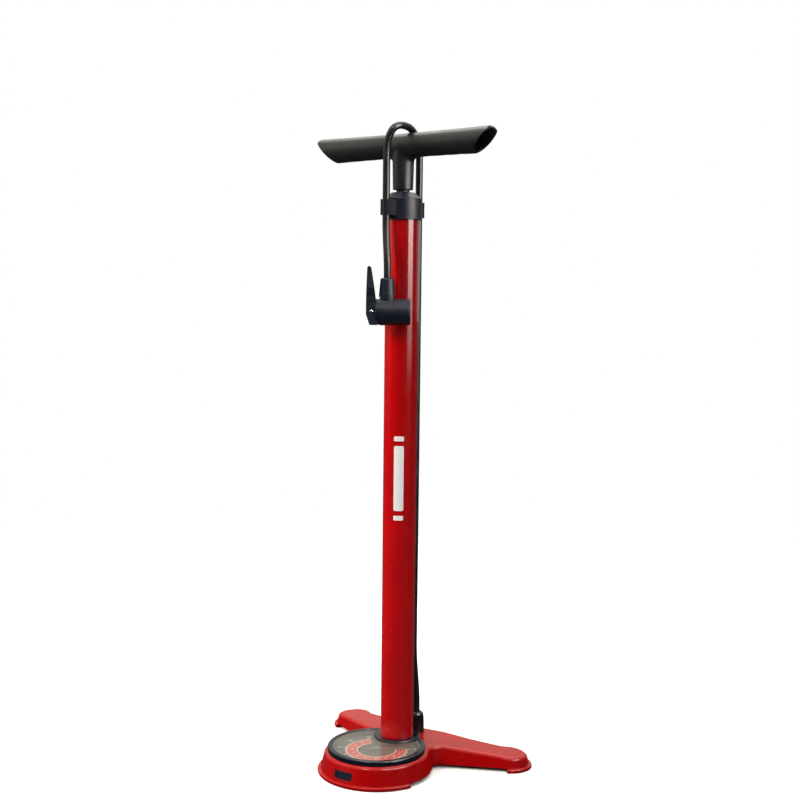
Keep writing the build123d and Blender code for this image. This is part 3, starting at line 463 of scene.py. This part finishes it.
def barrel_patch(name, low, high, centre, half_width, corner):
    """A printed rectangle with rounded corners, wrapped on the barrel; widths are angles."""
    points, faces = [], []
    rows = 60
    columns = 14
    for row in range(rows + 1):
        z = low + (high - low) * row / rows
        inset = 0.0
        edge = min(z - low, high - z)
        if edge < corner:
            inset = (corner - (corner**2 - (corner - edge) ** 2) ** 0.5) / BARREL_R
        half = radians(half_width) - inset
        for lift in (0.004 * MM, 0.05 * MM):
            for column in range(columns + 1):
                angle = radians(centre) + half * (2 * column / columns - 1)
                points.append(((BARREL_R + lift) * cos(angle), (BARREL_R + lift) * sin(angle), z))
    width = columns + 1
    for row in range(rows):
        for layer in (0, 1):
            for column in range(columns):
                a = (row * 2 + layer) * width + column
                b = a + 2 * width
                faces.append([a, a + 1, b + 1, b])
        for column in (0, columns):
            a = row * 2 * width + column
            faces.append([a, a + width, a + 3 * width, a + 2 * width])
    for row in (0, rows):
        for column in range(columns):
            a = row * 2 * width + column
            faces.append([a, a + 1, a + width + 1, a + width])
    make_piece(name, points, faces, print_white, "barrel", 40)


for place, low, high in (("wide", 272, 340), ("low", 262, 267), ("high", 345, 350)):
    barrel_patch("barrel_bar_" + place, low * MM, high * MM, BAR_FACING, BAR_HALF_WIDTH, BAR_CORNER)

# ---------------------------------------------------------------- floor, light and camera

FLOOR_HALF = 30.0
FADE_START, FADE_END = 0.55, 1.6
FADE_POWER = 1.3

floor_mesh = bpy.data.meshes.new("floor")
corners = [(x * FLOOR_HALF, y * FLOOR_HALF, 0) for x, y in ((-1, -1), (1, -1), (1, 1), (-1, 1))]
floor_mesh.from_pydata(corners, [], [(0, 1, 2, 3)])
floor = bpy.data.objects.new("floor", floor_mesh)
floor.location.z = -0.3 * MM
bpy.context.scene.collection.objects.link(floor)
ground = Paint("pale_floor")
ray = ground.node("ShaderNodeLightPath")
seen = ray.outputs["Is Camera Ray"]
pale = ground.mix(ground.span(ground.noise(3, 4), 0.3, 0.7), rgb(240, 240, 240), rgb(245, 245, 244))
# Paler to the camera than to the object, which it lights only softly and is hardly mirrored in
unseen = ground.mix(ray.outputs["Is Glossy Ray"], (0.13, 0.155, 0.2, 1), (0.015, 0.016, 0.02, 1))
ground.set(Base_Color=ground.mix(seen, unseen, pale), Roughness=0.85, Specular_IOR_Level=0.1)
# Away from the object the floor fades into the white backdrop
distance = ground.node("ShaderNodeVectorMath", operation="LENGTH")
ground.link(ground.place, distance.inputs[0])
faded = ground.span(distance.outputs["Value"], FADE_START, FADE_END, smooth=True)
far = ground.maths("MULTIPLY", faded, seen)
glow = ground.node("ShaderNodeEmission")
blend = ground.node("ShaderNodeMixShader")
ground.link(far, blend.inputs["Fac"])
ground.link(ground.bsdf.outputs[0], blend.inputs[1])
ground.link(glow.outputs[0], blend.inputs[2])
ground.link(blend.outputs[0], ground.tree.nodes["Material Output"].inputs["Surface"])
floor_mesh.materials.append(ground.mat)

TOWARD = Vector((sin(CAMERA_TURN), -cos(CAMERA_TURN), 0))
RIGHT = Vector((cos(CAMERA_TURN), sin(CAMERA_TURN), 0))


def softbox(
    name, turn, height, distance, width, tall, power, colour, aim, diffuse=True, mirrored=True, fade=False
):
    """A rectangular soft light; turn is measured from the camera's side, to the right, in degrees.

    A light with a fade is dim at its lower end.
    """
    lamp = bpy.data.lights.new(name, "AREA")
    lamp.shape = "RECTANGLE"
    lamp.size = width
    lamp.size_y = tall
    lamp.energy = power
    lamp.color = colour
    if fade:
        lamp.use_nodes = True
        graded = Graph(lamp.node_tree, "Object")
        across = graded.node("ShaderNodeSeparateXYZ")
        graded.link(graded.node("ShaderNodeNewGeometry").outputs["Parametric"], across.inputs["Vector"])
        strength = graded.maths("POWER", across.outputs["Y"], FADE_POWER)
        graded.link(strength, lamp.node_tree.nodes["Emission"].inputs["Strength"])
    holder = bpy.data.objects.new(name, lamp)
    bpy.context.scene.collection.objects.link(holder)
    place = TOWARD * (distance * cos(radians(turn))) + RIGHT * (distance * sin(radians(turn)))
    place.z = height
    holder.location = place
    holder.rotation_mode = "QUATERNION"
    holder.rotation_quaternion = (place - Vector((0, 0, aim))).to_track_quat("Z", "Y")
    holder.visible_diffuse = diffuse
    holder.visible_glossy = mirrored
    holder.visible_camera = False


softbox("strip_right", 59, 0.63, 0.95, 0.6, 0.6, 26, (1.0, 0.92, 0.88), 0.63, diffuse=False, fade=True)
softbox("glow_left", -88, 0.75, 1.2, 0.5, 1.2, 2.4, (1.0, 0.75, 0.4), 0.75, diffuse=False, fade=True)
softbox("key_left", -46, 1.25, 1.8, 0.45, 0.45, 20, (1.0, 0.96, 0.92), 0.35, mirrored=False)
softbox("key_right", 40, 1.7, 2.4, 1.2, 1.2, 26, (1.0, 0.985, 0.97), 0.3)
softbox("fill_left", -92, 1.1, 1.2, 0.5, 1.2, 22, (1.0, 0.9, 0.8), 0.4, mirrored=False)
softbox("spark_left", -30, 2.0, 1.6, 0.5, 0.25, 14, (1.0, 0.95, 0.9), 0.1, diffuse=False)
softbox("spark_right", 25, 2.0, 1.6, 0.4, 0.25, 14, (1.0, 0.95, 0.9), 0.1, diffuse=False)
softbox("overhead", 170, 2.6, 0.9, 2.2, 2.2, 50, (1.0, 0.97, 0.9), 0.3)

# Light all round: warm and brighter from above and from behind the object, dark round the camera
world = bpy.data.worlds.new("studio")
bpy.context.scene.world = world
world.use_nodes = True
studio = Graph(world.node_tree, "Generated")
height = studio.axes()[2]


def facing(way):
    """How far the light comes from one way: 1 straight from it, 0 from the side."""
    dot = studio.node("ShaderNodeVectorMath", operation="DOT_PRODUCT")
    studio.link(studio.place, dot.inputs[0])
    dot.inputs[1].default_value = way
    return dot.outputs["Value"]


BACK_GLOW, LEFT_GLOW, TOP_GLOW, BASE_GLOW = 0.42, 0.3, 1.0, 0.06
COOL, WARM = (0.6, 0.78, 1.0, 1), (1.0, 0.95, 0.84, 1)
back_glow = studio.span(facing(-TOWARD), 0.1, 0.95, 0.0, BACK_GLOW, smooth=True)
left_glow = studio.span(facing(-RIGHT), 0.45, 1.0, 0.0, LEFT_GLOW, smooth=True)
top_glow = studio.span(height, 0.12, 0.95, 0.0, TOP_GLOW, smooth=True)
sides = studio.maths("ADD", back_glow, left_glow)
total = studio.maths("ADD", sides, studio.maths("ADD", top_glow, BASE_GLOW))
tint = studio.mix(studio.span(total, BASE_GLOW, 0.3), COOL, WARM)
light = world.node_tree.nodes["Background"]
studio.link(tint, light.inputs["Color"])
studio.link(total, light.inputs["Strength"])
white = studio.node("ShaderNodeBackground")
white.inputs["Color"].default_value = (1, 1, 1, 1)
choose = studio.node("ShaderNodeMixShader")
studio.link(studio.node("ShaderNodeLightPath").outputs["Is Camera Ray"], choose.inputs["Fac"])
studio.link(light.outputs[0], choose.inputs[1])
studio.link(white.outputs[0], choose.inputs[2])
studio.link(choose.outputs[0], world.node_tree.nodes["World Output"].inputs["Surface"])
bpy.context.scene.view_settings.view_transform = "Standard"

# The camera stands in front and to the right, a little above the middle, with a slight roll
CAMERA_LENS = 56.42
CAMERA_AWAY = 1.309153
CAMERA_HEIGHT = 0.489226
CAMERA_YAW = radians(0.029)
CAMERA_DOWN = radians(4.483)
CAMERA_ROLL = radians(0.646)
turned = CAMERA_TURN + CAMERA_YAW
forward = Vector((-sin(turned) * cos(CAMERA_DOWN), cos(turned) * cos(CAMERA_DOWN), -sin(CAMERA_DOWN)))
level = Vector((cos(turned), sin(turned), 0))
upward = level.cross(forward)
right = cos(CAMERA_ROLL) * level + sin(CAMERA_ROLL) * upward
upward = -sin(CAMERA_ROLL) * level + cos(CAMERA_ROLL) * upward
camera_data = bpy.data.cameras.new("camera")
camera_data.lens = CAMERA_LENS
camera_data.sensor_width = 36
camera_data.clip_start = 0.01
camera = bpy.data.objects.new("camera", camera_data)
bpy.context.scene.collection.objects.link(camera)
matrix = Matrix((right, upward, -forward)).transposed().to_4x4()
matrix.translation = Vector((CAMERA_AWAY * sin(CAMERA_TURN), -CAMERA_AWAY * cos(CAMERA_TURN), CAMERA_HEIGHT))
camera.matrix_world = matrix
bpy.context.scene.camera = camera
